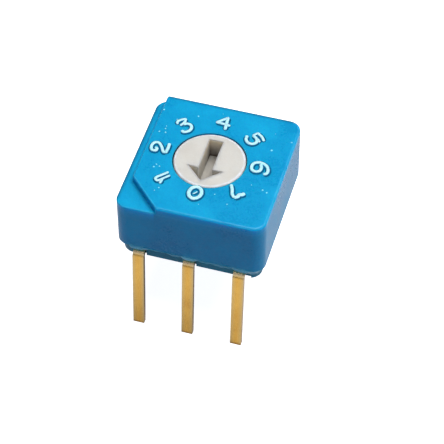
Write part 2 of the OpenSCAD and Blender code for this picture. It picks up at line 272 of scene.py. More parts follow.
def metalFinish(name, look):
    # metal with drawn streaks and a little cloudy tarnish; a look that names the colours of leads has
    # painted shading on their rolled edges, painted shade on their sheared sides, a painted highlight on
    # their bends and darker tips
    look = {**plainMetal, **look}
    material, tree, shader = newMaterial(name)
    drawn = useGroup(tree, drawnMetal, Streaks=look["streaks"], Stretch=look["stretch"])
    streak = drawn.outputs["Streak"]
    colour = addMix(tree, streak, look["colour"], look["streakColour"])
    patches = addMath(tree, "MULTIPLY", drawn.outputs["Tarnish"], look["tarnish"])
    colour = addMix(tree, patches, colour, look["tarnishColour"])
    if "tipColour" in look:
        # painted shading on the rolled edges, painted shade on the sides and a painted highlight on the
        # outer bends
        across = meshMask(tree, "across")
        colour = addMix(tree, addMath(tree, "MULTIPLY", across, across), colour, look["edgeShadingColour"])
        colour = addMix(tree, meshMask(tree, "cut"), colour, look["cutColour"])
        colour = addMix(tree, meshMask(tree, "bend"), colour, look["bendColour"])
        height = addNode(tree, "ShaderNodeSeparateXYZ", {0: objectPlace(tree)}).outputs["Z"]
        tip = addRange(tree, height, cadLow[2] + look["tipReach"], cadLow[2], toMax=look["tipDark"])
        colour = addMix(tree, tip, colour, look["tipColour"])
    tree.links.new(colour, shader.inputs["Base Color"])
    shader.inputs["Metallic"].default_value = 1.0
    setSkin(tree, shader, look, streak, streak)
    return material


# housing: pale painted highlight on the edges, painted glow below the edges and on the step, and painted
# shade in the bore and along the back and left edges
bluePlastic = plasticFinish("bluePlastic", {
    "colour": rgb(0, 151, 201), "cloudColour": rgb(6, 172, 219), "edgeHighlightColour": rgb(70, 186, 230),
    "paintedGlowColour": rgb(0, 200, 255), "paintedShadeColour": rgb(6, 40, 62), "edgeHighlight": 0.5, "breakup": 1500.0,
    "dustColour": rgb(150, 215, 235), "dust": 0.6, "dustSpacing": 1300.0, "grain": 9000.0, "cloud": 450.0,
    "roughness": 0.3, "specular": 0.2, "bump": 0.25, "bumpDepth": 0.00004,
    "scatter": 0.5, "scatterDepth": 0.00035})
# digits: the edge mask lies on the strokes' crowns, so the near-white colour there is a painted highlight
digitInk = plasticFinish("digitPlastic", {
    "colour": rgb(150, 225, 245), "cloudColour": rgb(190, 245, 255), "edgeHighlightColour": rgb(225, 255, 255),
    "edgeHighlight": 0.6, "breakup": 5000.0, "dustColour": rgb(225, 250, 255), "dust": 0.2, "dustSpacing": 3000.0,
    "grain": 14000.0, "cloud": 3500.0, "roughness": 0.45, "specular": 0.4, "bump": 0.3, "scatter": 0.2})
# dark blue for the painted shadows under the digits
digitShadow = plasticFinish("digitPaintedShadow", {
    "colour": rgb(0, 88, 128), "cloudColour": rgb(0, 96, 138), "edgeHighlightColour": rgb(0, 104, 146),
    "edgeHighlight": 0.2, "breakup": 4000.0, "dustColour": rgb(60, 150, 190), "dust": 0.1, "dustSpacing": 3000.0,
    "grain": 12000.0, "cloud": 2500.0, "roughness": 0.5, "specular": 0.05, "bump": 0.2})
speckDust = plasticFinish("speckDust", {
    "colour": rgb(110, 220, 245), "cloudColour": rgb(150, 235, 252), "dustColour": rgb(190, 245, 255),
    "dust": 0.1, "dustSpacing": 3000.0, "grain": 12000.0, "cloud": 2500.0, "roughness": 0.5,
    "specular": 0.3, "bump": 0.2})
# rotor: near-white painted highlight on the rim and slot edges, painted shade and a warm painted glow in
# the slot
rotorPlastic = plasticFinish("rotorPlastic", {
    "colour": rgb(213, 208, 197), "cloudColour": rgb(220, 217, 207), "edgeHighlightColour": rgb(252, 252, 252),
    "paintedGlowColour": rgb(255, 238, 208), "paintedShadeColour": rgb(64, 50, 36), "edgeHighlight": 0.9, "breakup": 3000.0,
    "dustColour": rgb(190, 186, 176), "dust": 0.25, "dustSpacing": 2200.0, "grain": 12000.0,
    "cloud": 1400.0, "roughness": 0.5, "specular": 0.4, "bump": 0.25,
    "scatter": 0.7, "scatterDepth": 0.0006, "scatterReach": (1.0, 0.9, 0.8)})
basePlastic = plasticFinish("basePlastic", {
    "colour": rgb(22, 136, 160), "cloudColour": rgb(40, 150, 174), "dustColour": rgb(140, 180, 195),
    "dust": 0.3, "dustSpacing": 1500.0, "grain": 9000.0, "cloud": 700.0, "roughness": 0.38,
    "specular": 0.25, "bump": 0.25, "bumpDepth": 0.00004, "scatter": 0.3, "scatterDepth": 0.0003})
# sealing resin: its edge mask is the same all over, so the whole bead is a little paler, a painted
# highlight
resinFinish = plasticFinish("sealingResin", {
    "colour": rgb(36, 186, 220), "cloudColour": rgb(110, 226, 244), "edgeHighlightColour": rgb(160, 214, 230),
    "edgeHighlight": 0.3, "breakup": 2500.0, "dustColour": rgb(150, 190, 205), "dust": 0.2, "dustSpacing": 1800.0,
    "grain": 2500.0, "cloud": 900.0, "roughness": 0.14, "specular": 0.3, "bump": 0.5, "bumpDepth": 0.00006,
    "scatter": 0.3, "scatterDepth": 0.0002})
sealRubber = plasticFinish("sealRubber", {
    "colour": rgb(38, 38, 40), "cloudColour": rgb(52, 52, 54), "dustColour": rgb(150, 150, 150),
    "dust": 0.3, "dustSpacing": 2500.0, "grain": 14000.0, "cloud": 1500.0, "roughness": 0.6,
    "specular": 0.3, "bump": 0.3})
# leads: painted shade on their sides and edges, a painted highlight on their outer bends
goldPlate = metalFinish("goldPlate", {
    "colour": rgb(228, 172, 76), "streakColour": rgb(240, 194, 100), "tarnishColour": rgb(190, 130, 54),
    "cutColour": rgb(190, 148, 90), "bendColour": rgb(252, 224, 168), "edgeShadingColour": rgb(208, 180, 122),
    "tipColour": rgb(120, 80, 44), "tipReach": 0.0002, "tipDark": 0.75, "tarnish": 0.4,
    "streaks": 9000.0, "stretch": 0.06, "roughness": 0.28, "bump": 0.25})
springSteel = metalFinish("springSteel", {
    "colour": rgb(190, 190, 194), "streakColour": rgb(214, 214, 216), "tarnishColour": rgb(150, 146, 140),
    "tarnish": 0.35, "streaks": 7000.0, "stretch": 0.5, "roughness": 0.3, "bump": 0.2})
print("finishes ready")


def gridFaces(rows, cols, wrapRows, wrapCols):
    # every face joins a point to its neighbours in the next row and the next column
    r = np.arange(rows if wrapRows else rows - 1)[:, None]
    c = np.arange(cols if wrapCols else cols - 1)[None, :]
    nextR, nextC = (r + 1) % rows, (c + 1) % cols
    corners = [r * cols + c, r * cols + nextC, nextR * cols + nextC, nextR * cols + c]
    return np.stack(np.broadcast_arrays(*corners), -1).reshape(-1, 4)


def closedShell(points, edge, wrapRows=True, wrapCols=True):
    # a grid of points (rows, columns, 3) as one closed skin, turned so that its volume is positive:
    # the volume is a sixth of the sum over triangles of a . (b x c)
    flat = points.reshape(-1, 3)
    faces = gridFaces(points.shape[0], points.shape[1], wrapRows, wrapCols)
    a, b, c, d = (flat[faces[:, k]] for k in range(4))
    volume = (a * np.cross(b, c)).sum() + (a * np.cross(c, d)).sum()
    if volume < 0:
        faces = faces[:, ::-1]
    return flat, faces, np.broadcast_to(edge, points.shape[:2]).reshape(-1)


# points closer than this, in metres, are one
mergeWithin = 1e-7


def finishMesh(name, mesh, body, material, replaced, sharpAngle):
    # merged points, smooth faces between sharp edges, and the piece's body and replaced nodes
    work = bmesh.new()
    work.from_mesh(mesh)
    bmesh.ops.remove_doubles(work, verts=work.verts, dist=mergeWithin)
    bmesh.ops.dissolve_degenerate(work, dist=mergeWithin, edges=work.edges)
    work.to_mesh(mesh)
    work.free()
    mesh.polygons.foreach_set("use_smooth", np.ones(len(mesh.polygons), bool))
    mesh.set_sharp_from_angle(angle=math.radians(sharpAngle))
    mesh.materials.append(material)
    piece = bpy.data.objects.new(name, mesh)
    scene.collection.objects.link(piece)
    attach(piece, body)
    if replaced:
        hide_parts(*replaced)
    return piece


def setMask(mesh, name, domain, values):
    # a value for each point or face, which the materials read by its name
    data = mesh.attributes.new(name, "FLOAT", domain).data
    data.foreach_set("value", values.astype(np.float32))


def meshPlaces(mesh):
    # the places of the mesh's points, in millimetres
    places = np.empty(len(mesh.vertices) * 3, np.float32)
    mesh.vertices.foreach_get("co", places)
    return places.reshape(-1, 3) / mm


def buildPiece(name, shells, body, material, replaced=(), sharpAngle=50):
    # joins closed skins given in millimetres into one object at the origin
    counts = np.cumsum([0] + [len(s[0]) for s in shells])
    points = np.concatenate([s[0] for s in shells]) * mm
    faces = np.concatenate([s[1] + start for s, start in zip(shells, counts)])
    mesh = bpy.data.meshes.new(name)
    mesh.from_pydata(points, [], faces.tolist())
    setMask(mesh, "edge", "POINT", np.concatenate([s[2] for s in shells]))
    return finishMesh(name, mesh, body, material, replaced, sharpAngle)


def quarterTurn(radius, count):
    # a rounded corner from 0 to 90 degrees, as pairs: how far it still is from the side, and how far it
    # has dropped
    turn = np.linspace(0, math.pi / 2, count)
    return list(zip(radius * (1 - np.sin(turn)), radius * (1 - np.cos(turn))))


def squareRadius(angle, half, corner, inset=0.0):
    # how far a rounded square reaches from the axis in each direction: the side's distance over the
    # larger of cosine and sine, and in a corner the ray's far crossing with the corner's circle
    half = half - inset
    corner = np.maximum(corner - inset, 0.0)
    c, s = np.abs(np.cos(angle)), np.abs(np.sin(angle))
    straight = half / np.maximum(c, s)
    centre = half - corner
    along = centre * (c + s)
    arc = along + np.sqrt(np.maximum(along ** 2 - 2 * centre ** 2 + corner ** 2, 0))
    return np.where(np.minimum(c, s) * straight > centre, arc, straight)


def lineRadius(angle, normalX, normalY, distance):
    # how far the ray goes to a straight line with that outward normal and distance from the axis, or
    # very far where the ray doesn't face the line
    leastFacing = 1e-3
    facing = np.cos(angle) * normalX + np.sin(angle) * normalY
    return np.where(facing > leastFacing, distance / np.maximum(facing, leastFacing), 1e3)


def ring(radius, height, angle):
    # one row of a grid that goes round the axis
    radius = np.broadcast_to(radius, angle.shape)
    height = np.broadcast_to(height, angle.shape)
    return np.stack([radius * np.cos(angle), radius * np.sin(angle), height], -1)


# the housing, in millimetres; each hold is a row of points that keeps a flat face flat beside a round
# the highlight shares give the lip, the outer roundings and the ledge their share of pale painted edge
# highlight, and the glow drops are extra rows below the outer rounding that carry the painted glow's fade
housing = {
    "half": 3.725, "cornerR": 0.65, "bottom": 0.75, "top": 3.85, "topRound": 0.12,
    "ledgeX": -3.265, "ledgeZ": 3.45, "ledgeRound": 0.07, "footRound": 0.05, "outerRound": 0.07,
    "keyFrontX": -1.565, "keySideY": -2.005, "cavityHalf": 3.05, "cavityCorner": 0.325, "roof": 2.85,
    "seatR": 2.275, "seatTop": 3.3, "boreR": 1.815, "lipRound": 0.04, "bottomRound": 0.05,
    "hold": 0.015, "edgeFade": 0.14, "roundBlend": 0.15, "wallRow": 0.4, "paintedGlowDrops": (0.12, 0.3, 0.6),
    "columns": 540, "roundSteps": 5, "topSteps": 7, "lipHighlight": 0.6, "outerHighlight": 0.7, "ledgeHighlight": 0.15,
    "keySine": -0.6, "slack": 1e-4}
keyEnds = ((housing["keyFrontX"], -housing["half"]), (housing["ledgeX"], housing["keySideY"]))


def bodyRadius(angle, inset=0.0):
    # the body's own outline, a rounded square
    return squareRadius(angle, housing["half"], housing["cornerR"], inset)


def platformEdge(angle, inset=0.0):
    # the raised top's outline: the nearest of the body's side, the ledge line and the key line
    front, side = np.array(keyEnds)
    along = (side - front) / np.linalg.norm(side - front)
    normal = np.array([-along[1], along[0]])
    normal = normal * np.sign(normal @ front)
    return np.minimum.reduce([
        bodyRadius(angle, inset),
        lineRadius(angle, -1, 0, -housing["ledgeX"] - inset),
        lineRadius(angle, normal[0], normal[1], normal @ front - inset)])


def housingShell():
    # a ring of closed sections: each column is the housing cut by a half plane through the axis, and
    # its outline runs up the bore, over the top, down the outside and back through the cavity
    h = housing
    hold = h["hold"]
    lean = h["half"] - h["cornerR"]
    ledgeEndY = lean + math.sqrt(h["cornerR"] ** 2 - (-h["ledgeX"] - lean) ** 2)
    exact = [math.atan2(y, x) for x, y in ((h["ledgeX"], ledgeEndY), *keyEnds)]
    evenly = np.linspace(-math.pi, math.pi, h["columns"], endpoint=False)
    angle = np.unique(np.concatenate([evenly, exact]))
    side = bodyRadius(angle)
    wall = platformEdge(angle)
    lowered = np.clip((side - wall) / h["roundBlend"], 0, 1)
    topRound = h["topRound"] + (h["ledgeRound"] - h["topRound"]) * lowered
    # the edge along the ledge, up to where the keyed corner starts, gets less painted highlight than the
    # rest
    onLedge = -np.cos(angle) * wall > -h["ledgeX"] - h["slack"]
    alongLedge = onLedge & (np.sin(angle) > h["keySine"])
    topHighlight = np.where(alongLedge, h["ledgeHighlight"], 1.0)
    rows, edge = [], []

    # the mask is the row's share of the pale painted edge highlight
    def put(radius, height, mask=0.0):
        rows.append(ring(radius, height, angle))
        edge.append(np.broadcast_to(mask, angle.shape))

    put(h["boreR"], h["seatTop"])
    put(h["boreR"], h["top"] - h["lipRound"] - hold)
    for away, drop in quarterTurn(h["lipRound"], h["roundSteps"])[::-1]:
        put(h["boreR"] + h["lipRound"] - away, h["top"] - drop, h["lipHighlight"])
    put(h["boreR"] + h["lipRound"] + hold, h["top"])
    put(platformEdge(angle, topRound + h["edgeFade"]), h["top"])
    put(platformEdge(angle, topRound + hold), h["top"])
    for away, drop in quarterTurn(1.0, h["topSteps"]):
        put(platformEdge(angle, topRound * away), h["top"] - topRound * drop, topHighlight)
    put(wall, h["top"] - topRound - hold)
    put(wall, h["top"] - topRound - hold - (h["top"] - h["ledgeZ"] - h["topRound"]) * h["wallRow"])
    put(wall, h["ledgeZ"] + h["footRound"] + hold)
    for away, drop in quarterTurn(h["footRound"], h["roundSteps"]):
        put(np.minimum(wall + drop, side), h["ledgeZ"] + away)
    reach = np.minimum(wall + h["footRound"], side)
    put(np.maximum(reach, bodyRadius(angle, h["outerRound"] + h["edgeFade"])), h["ledgeZ"])
    put(np.maximum(reach, bodyRadius(angle, h["outerRound"] + hold)), h["ledgeZ"])
    for away, drop in quarterTurn(h["outerRound"], h["roundSteps"]):
        put(np.maximum(reach, bodyRadius(angle, away)), h["ledgeZ"] - drop, h["outerHighlight"])
    put(side, h["ledgeZ"] - h["outerRound"] - hold)
    for drop in h["paintedGlowDrops"]:
        put(side, h["ledgeZ"] - h["outerRound"] - drop)
    put(side, h["bottom"] + h["bottomRound"] + hold)
    for away, drop in quarterTurn(h["bottomRound"], h["roundSteps"])[::-1]:
        put(bodyRadius(angle, h["bottomRound"] - away), h["bottom"] + drop, h["outerHighlight"])
    put(bodyRadius(angle, h["bottomRound"] + hold), h["bottom"])
    cavity = squareRadius(angle, h["cavityHalf"], h["cavityCorner"])
    put(cavity, h["bottom"])
    put(cavity, h["roof"])
    put(h["seatR"], h["roof"])
    put(h["seatR"], h["seatTop"])
    return closedShell(np.stack(rows), np.stack(edge))


def blockShell(low, high):
    # a closed box as a ring of four columns round its middle, closed to a point at both ends
    low, high = np.array(low), np.array(high)
    corners = np.array([(low[0], low[1]), (high[0], low[1]), (high[0], high[1]), (low[0], high[1])])
    middle = np.tile((low[:2] + high[:2]) / 2, (4, 1))
    rows = [np.column_stack([flat, np.full(4, z)]) for flat, z in
            ((middle, low[2]), (corners, low[2]), (corners, high[2]), (middle, high[2]))]
    return closedShell(np.stack(rows), 0.0, wrapRows=False)


def turned(shell, degrees):
    # the shell turned about the axis
    a = math.radians(degrees)
    spin = np.array([[math.cos(a), -math.sin(a), 0], [math.sin(a), math.cos(a), 0], [0, 0, 1]])
    return shell[0] @ spin.T, shell[1], shell[2]


# ribs on the cavity's walls, two at each of two opposite corners, that hold the click springs' ends
ribs = {"depth": 0.22, "width": 0.3, "start": 1.33, "low": 2.315, "intoWall": 0.3, "intoRoof": 0.3}
ribNear = housing["cavityHalf"] - ribs["depth"]
ribFar = housing["cavityHalf"] + ribs["intoWall"]
ribEnd = ribs["start"] + ribs["width"]
ribTop = housing["roof"] + ribs["intoRoof"]
ribPair = (blockShell([ribNear, ribs["start"], ribs["low"]], [ribFar, ribEnd, ribTop]),
           blockShell([ribs["start"], ribNear, ribs["low"]], [ribEnd, ribFar, ribTop]))
ribShells = [turned(rib, side) for side in (90, -90) for rib in ribPair]
housingPiece = buildPiece("housing_shell", [housingShell(), *ribShells], "case",
                          bluePlastic, ["housing"])

# painted shade and painted light on the housing: how dark its back and left edges are painted, how far in
# from the side and over what width that starts, and how far down the painted glow from the top reaches
housingPaint = {"skin": 0.02, "boreSkin": 0.01, "boreBackLight": 0.9, "edgeDark": 0.65, "roundShare": 0.7,
                "backIn": 0.2, "leftIn": 0.15, "fadeIn": 0.1, "loweredBy": 0.1, "paintedGlowReach": 0.65,
                "paintedGlowPower": 1.5, "paintedGlowBelow": 0.05, "stepFromBore": 0.5}


def bodyTop(x, y):
    # the height of the body's own top: lower along the ledge and the keyed corner
    angle = np.arctan2(y, x)
    lowered = bodyRadius(angle) - platformEdge(angle) > housingPaint["loweredBy"]
    return np.where(lowered, housing["ledgeZ"], housing["top"])


def housingPaintedShade(place):
    # painted shade: the bore below its lip is painted dark except at the back, and the rounding at the back
    # and left a little darker
    p = housingPaint
    x, y, z = place.T
    bore = (np.hypot(x, y) < housing["boreR"] + p["boreSkin"]) & (z < housing["top"] - housing["lipRound"])
    seen = 1 - p["boreBackLight"] * np.clip(y / housing["boreR"], 0, 1) ** 2
    rounding = z > bodyTop(x, y) - p["roundShare"] * housing["topRound"]
    back = np.clip((y - housing["half"] + p["backIn"]) / p["fadeIn"], 0, 1) * rounding
    left = np.clip((-x - housing["half"] + p["leftIn"]) / p["fadeIn"], 0, 1) * rounding
    return np.maximum(bore * seen, p["edgeDark"] * np.maximum(back, left))


def housingPaintedGlow(place):
    # painted light: a paler glow just below the edge, where it fades with the depth below the top, and all
    # over the step between the top and the ledge
    p = housingPaint
    x, y, z = place.T
    top = bodyTop(x, y)
    outside = np.hypot(x, y) > bodyRadius(np.arctan2(y, x)) - p["skin"]
    fade = np.clip(1 - (top - z) / p["paintedGlowReach"], 0, 1) ** p["paintedGlowPower"]
    beyondBore = np.hypot(x, y) > housing["boreR"] + p["stepFromBore"]
    step = ~outside & beyondBore & (z > housing["ledgeZ"] + p["skin"])
    return (outside * fade + step) * (z < top - p["paintedGlowBelow"])


# painted shade and painted glow on the housing, for each point
setMask(housingPiece.data, "painted_shade", "POINT", housingPaintedShade(meshPlaces(housingPiece.data)))
setMask(housingPiece.data, "painted_glow", "POINT", housingPaintedGlow(meshPlaces(housingPiece.data)))
print("housing built:", len(housingPiece.data.polygons), "faces")

# each digit is drawn upright in millimetres about a point on the dial's circle, as strokes: a share of
# the full width, and the points that the stroke runs through
digitStrokes = {
    0: [(1.15, [(0.37, -0.27), (0.29, -0.01), (0.07, 0.12), (-0.15, -0.01), (-0.235, -0.27), (-0.15, -0.53),
                (0.07, -0.65), (0.29, -0.53), (0.37, -0.27)]),
        (0.4, [(0.0, -0.34), (0.07, -0.25), (0.13, -0.19)])],
    1: [(0.85, [(-0.16, 0.3), (-0.02, 0.12)]),
        (0.85, [(0.02, 0.26), (0.06, 0.36), (0.2, 0.36), (0.26, 0.24), (0.26, 0.0), (0.26, -0.36)]),
        (0.75, [(0.02, 0.28), (0.03, 0.0), (0.04, -0.32)])],
    2: [(0.95, [(0.1, 0.27), (0.02, 0.19), (-0.12, 0.22), (-0.1, 0.42), (0.14, 0.5), (0.38, 0.42),
                (0.43, 0.22), (0.2, 0.0), (-0.08, -0.16), (-0.1, -0.3)]),
        (1.0, [(-0.12, -0.3), (0.2, -0.32), (0.5, -0.3)])],
    3: [(0.85, [(-0.22, 0.44), (-0.14, 0.56), (0.08, 0.58), (0.3, 0.52)]),
        (0.8, [(0.3, 0.5), (0.14, 0.36), (-0.12, 0.26)]),
        (1.0, [(0.04, 0.24), (0.2, 0.2), (0.31, 0.04), (0.24, -0.17), (0.02, -0.28), (-0.2, -0.22),
               (-0.26, -0.1)])],
    4: [(0.9, [(0.07, 0.5), (-0.14, 0.3), (-0.38, 0.08)]),
        (0.9, [(-0.4, 0.06), (-0.1, 0.04), (0.28, 0.0)]),
        (1.0, [(0.07, 0.5), (0.09, 0.15), (0.12, -0.14), (0.13, -0.3)])],
    5: [(0.9, [(0.13, 0.44), (-0.16, 0.48), (-0.46, 0.43)]),
        (0.7, [(-0.2, 0.2), (-0.06, 0.24), (0.1, 0.21)]),
        (0.85, [(-0.44, 0.42), (-0.45, 0.3), (-0.42, 0.17)]),
        (1.0, [(-0.42, 0.16), (-0.16, 0.19), (0.04, 0.08), (0.06, -0.14), (-0.12, -0.3), (-0.36, -0.28),
               (-0.55, -0.12)])],
    6: [(1.0, [(0.17, 0.26), (0.1, 0.37), (-0.1, 0.4), (-0.33, 0.3), (-0.47, 0.12), (-0.52, -0.12),
               (-0.42, -0.36), (-0.2, -0.44), (0.04, -0.36), (0.11, -0.18), (0.02, 0.0), (-0.2, 0.04),
               (-0.4, -0.04)])],
    7: [(1.25, [(-0.4, 0.2), (-0.28, 0.24), (-0.14, 0.17), (-0.02, 0.24), (0.14, 0.2)]),
        (1.0, [(0.15, 0.18), (0.12, -0.04), (-0.02, -0.3), (-0.13, -0.58)])]}
# the painted shadows under the digits are dark strokes, wider, flatter and shifted a little to one side
digits = {"ringR": 2.5, "halfWidth": 0.081, "height": 0.045, "sunk": 0.03, "endReach": 0.04, "dome": 0.6,
          "firstAngle": -90.0, "stepAngle": -45.0, "shadowSpread": 0.068, "shadowShift": (0.022, -0.035),
          "shadowHeight": 0.006, "samples": 14, "arcPoints": 11}


def smoothPath(corners, samples):
    # a curve through the points: each span blends its four nearest points (Catmull-Rom)
    p = np.array(corners, float)
    closed = np.allclose(p[0], p[-1])
    if closed:
        p = np.concatenate([p[-2:-1], p, p[1:2]])
    else:
        p = np.concatenate([2 * p[:1] - p[1:2], p, 2 * p[-1:] - p[-2:-1]])
    t = np.linspace(0, 1, samples, endpoint=False)[None, :, None]
    a, b, c, d = (p[k:len(p) - 3 + k, None, :] for k in range(4))
    square = (2 * a - 5 * b + 4 * c - d) * t ** 2
    cube = (3 * b - a - 3 * c + d) * t ** 3
    path = (0.5 * (2 * b + (c - a) * t + square + cube)).reshape(-1, 2)
    return (path, True) if closed else (np.concatenate([path, p[-2:-1]]), False)


def strokeShell(path, closed, halfWidth, height):
    # a half-round bead along a flat path: across it a half circle squashed to the height, closed
    # underneath by a flat strip sunk in the plate, and at open ends the width falls to nothing in a round
    if closed:
        ahead = np.roll(path, -1, 0) - np.roll(path, 1, 0)
        width = np.ones(len(path))
    else:
        ahead = np.gradient(path, axis=0)
        gone = np.concatenate([[0], np.cumsum(np.linalg.norm(np.diff(path, axis=0), axis=1))])
        nearEnd = np.minimum(gone, gone[-1] - gone)
        width = np.sqrt(np.clip(1 - (1 - np.clip(nearEnd / halfWidth, 0, 1)) ** 2, 0, 1))
    ahead /= np.maximum(np.linalg.norm(ahead, axis=1, keepdims=True), 1e-9)
    across = np.stack([-ahead[:, 1], ahead[:, 0]], -1)
    arc = np.linspace(0, math.pi, digits["arcPoints"])
    side = np.concatenate([np.cos(arc), [-1.0, 1.0]])
    lift = np.concatenate([np.sin(arc) ** digits["dome"], [0.0, 0.0]])
    deep = np.concatenate([np.zeros(len(arc)), [1.0, 1.0]])
    flat = path[:, None, :] + across[:, None, :] * (side[None, :, None] * width[:, None, None] * halfWidth)
    up = housing["top"] + lift[None, :] * height * width[:, None] - deep[None, :] * digits["sunk"]
    points = np.concatenate([flat, up[..., None]], -1)
    return closedShell(points, np.clip(lift, 0, 1)[None, :], wrapRows=closed)


def extendEnds(path, closed, length):
    # an open stroke grows by its rounded ends
    if closed:
        return path
    head = path[0] - path[1]
    tail = path[-1] - path[-2]
    steps = np.array([1.0, 0.75, 0.5, 0.25])[:, None] * length
    front = path[0] + head / np.linalg.norm(head) * steps
    back = path[-1] + tail / np.linalg.norm(tail) * steps[::-1]
    return np.concatenate([front, path, back])


def digitShells(foot):
    # every stroke of every digit, each digit upright as seen from the dial's middle; with foot, the wider,
    # flatter dark strokes of the painted shadows
    shells = []
    spread = digits["shadowSpread"] if foot else 0.0
    shift = np.array(digits["shadowShift"]) if foot else np.zeros(2)
    for value, strokes in digitStrokes.items():
        a = math.radians(digits["firstAngle"] + digits["stepAngle"] * value)
        up = np.array([math.cos(a), math.sin(a)])
        right = np.array([up[1], -up[0]])
        for share, corners in strokes:
            path, closed = smoothPath(corners, digits["samples"])
            path = extendEnds(path, closed, digits["endReach"])
            placed = up * (digits["ringR"] + path[:, 1:]) + right * path[:, :1] + shift
            height = digits["shadowHeight"] if foot else digits["height"] * min(share, 1)
            shells.append(strokeShell(placed, closed, digits["halfWidth"] * share + spread, height))
    return shells


digitPiece = buildPiece("dial_digits", digitShells(False), "case", digitInk,
                        sharpAngle=75)
# dark strokes under the digits, shifted to one side: a painted shadow
buildPiece("dial_digit_painted_shadows", digitShells(True), "case", digitShadow, sharpAngle=75)
print("digits built:", len(digitPiece.data.polygons), "faces")

# pale specks on the top: the place of each on the dial and its radius, and the half ellipse that each
# is turned from, as shares of the radius and, above the sunk foot, of the height
specks = {"height": 0.016, "sunk": 0.01, "columns": 10, "out": (0.0, 1.0, 0.85, 0.5, 0.0),
          "crown": (0.5, 0.85, 1.0)}
speckPlaces = (
    (-3.16, 2.68, 0.055), (-1.38, 2.71, 0.05), (-2.7, 1.45, 0.045), (-2.62, 1.2, 0.05), (-2.93, 1.18, 0.05),
    (-2.7, 1.62, 0.03), (-2.48, -1.16, 0.055), (-2.4, -0.97, 0.045), (-2.22, -1.05, 0.045),
    (-1.83, -2.4, 0.05), (-1.98, -2.62, 0.035), (2.71, 1.47, 0.06), (2.98, -1.17, 0.055),
    (3.21, -1.28, 0.05), (1.6, -2.52, 0.05), (0.86, -2.07, 0.04), (2.38, -1.0, 0.035), (1.48, 1.1, 0.02),
    (-0.25, 3.2, 0.025), (2.6, 2.6, 0.025), (0.3, -2.9, 0.03))


def speckShell(x, y, radius):
    # rings of a half ellipse, closed to a point above and below
    turn = np.linspace(-math.pi, math.pi, specks["columns"], endpoint=False)
    outward = np.array(specks["out"])[:, None] * radius
    foot = [-specks["sunk"]] * 2
    up = housing["top"] + np.array(foot + [share * specks["height"] for share in specks["crown"]])
    height = np.broadcast_to(up[:, None], (len(up), len(turn)))
    rows = np.stack([x + outward * np.cos(turn), y + outward * np.sin(turn), height], -1)
    return closedShell(rows, 0.0, wrapRows=False)


buildPiece("dust_specks", [speckShell(*place) for place in speckPlaces], "case",
           speckDust)
print("specks built:", len(speckPlaces))


# the rotor, in millimetres; its head's top is level with the housing's, and the arrow points to -Y
# the rim's and the slot's highlight shares are how much near-white painted edge highlight they get
rotor = {
    "headR": 1.765, "headRound": 0.08, "rimFade": 0.07, "rimHighlight": 0.9, "flangeR": 2.8, "flangeTop": 2.8,
    "flangeLow": 2.25, "notchAt": 3.25, "notchR": 0.7, "notchStep": math.pi / 4, "drumR": 2.45,
    "drumLow": 1.5, "discIn": 0.83, "discOut": 2.36, "discT": 0.15, "socketR": 0.5, "socketTop": 2.25,
    "slotFloor": 2.7, "slotHalf": 0.345, "slotTail": 1.36, "slotTip": 1.38, "shaftEnd": 0.9,
    "barbHalf": 0.84, "barbY": -0.57, "slotShift": -0.06, "slotRound": 0.05, "slotHighlight": 0.8,
    "floorRound": 0.05, "kernelY": -0.65, "wallRows": (0.3, 0.6), "hold": 0.012, "columns": 420,
    "floorSteps": 4, "slotSteps": 5, "headSteps": 6}
# the code's tracks: bit, radius, and the direction in degrees of the spring that reads it
codeTracks = ((1, 2.125, 180), (2, 1.755, 90), (4, 1.385, 270))
track = {"width": 0.27, "positionStep": 45, "intoDrum": 0.05, "sections": 25}


def arrowReach(ray, grow):
    # how far a ray from the kernel point goes inside the arrow grown by that much: the shaft's and the
    # head's reach are each the nearest of their sides, and the arrow takes the longer of the two
    r = rotor
    slope = math.atan2(r["barbHalf"], r["slotTip"] + r["barbY"])
    tipGap = (r["slotTip"] + r["kernelY"]) * math.sin(slope)
    shaft = ((1, 0, r["slotHalf"]), (-1, 0, r["slotHalf"]), (0, 1, r["slotTail"] - r["kernelY"]),
             (0, -1, r["shaftEnd"] + r["kernelY"]))
    head = ((0, 1, r["barbY"] - r["kernelY"]), (math.cos(slope), -math.sin(slope), tipGap),
            (-math.cos(slope), -math.sin(slope), tipGap))
    reach = [np.minimum.reduce([lineRadius(ray, x, y, gap + grow) for x, y, gap in sides])
             for sides in (shaft, head)]
    return np.maximum(*reach)


def flangeRadius(angle):
    # the flange's outline: a circle with eight round notches, each the near side of its own circle
    r = rotor
    offset = (angle + r["notchStep"] / 2) % r["notchStep"] - r["notchStep"] / 2
    halfChord = np.sqrt(np.maximum(r["notchR"] ** 2 - (r["notchAt"] * np.sin(offset)) ** 2, 0))
    notched = np.abs(np.sin(offset)) * r["notchAt"] < r["notchR"]
    notch = np.where(notched, r["notchAt"] * np.cos(offset) - halfChord, r["flangeR"])
    return np.minimum(notch, r["flangeR"])


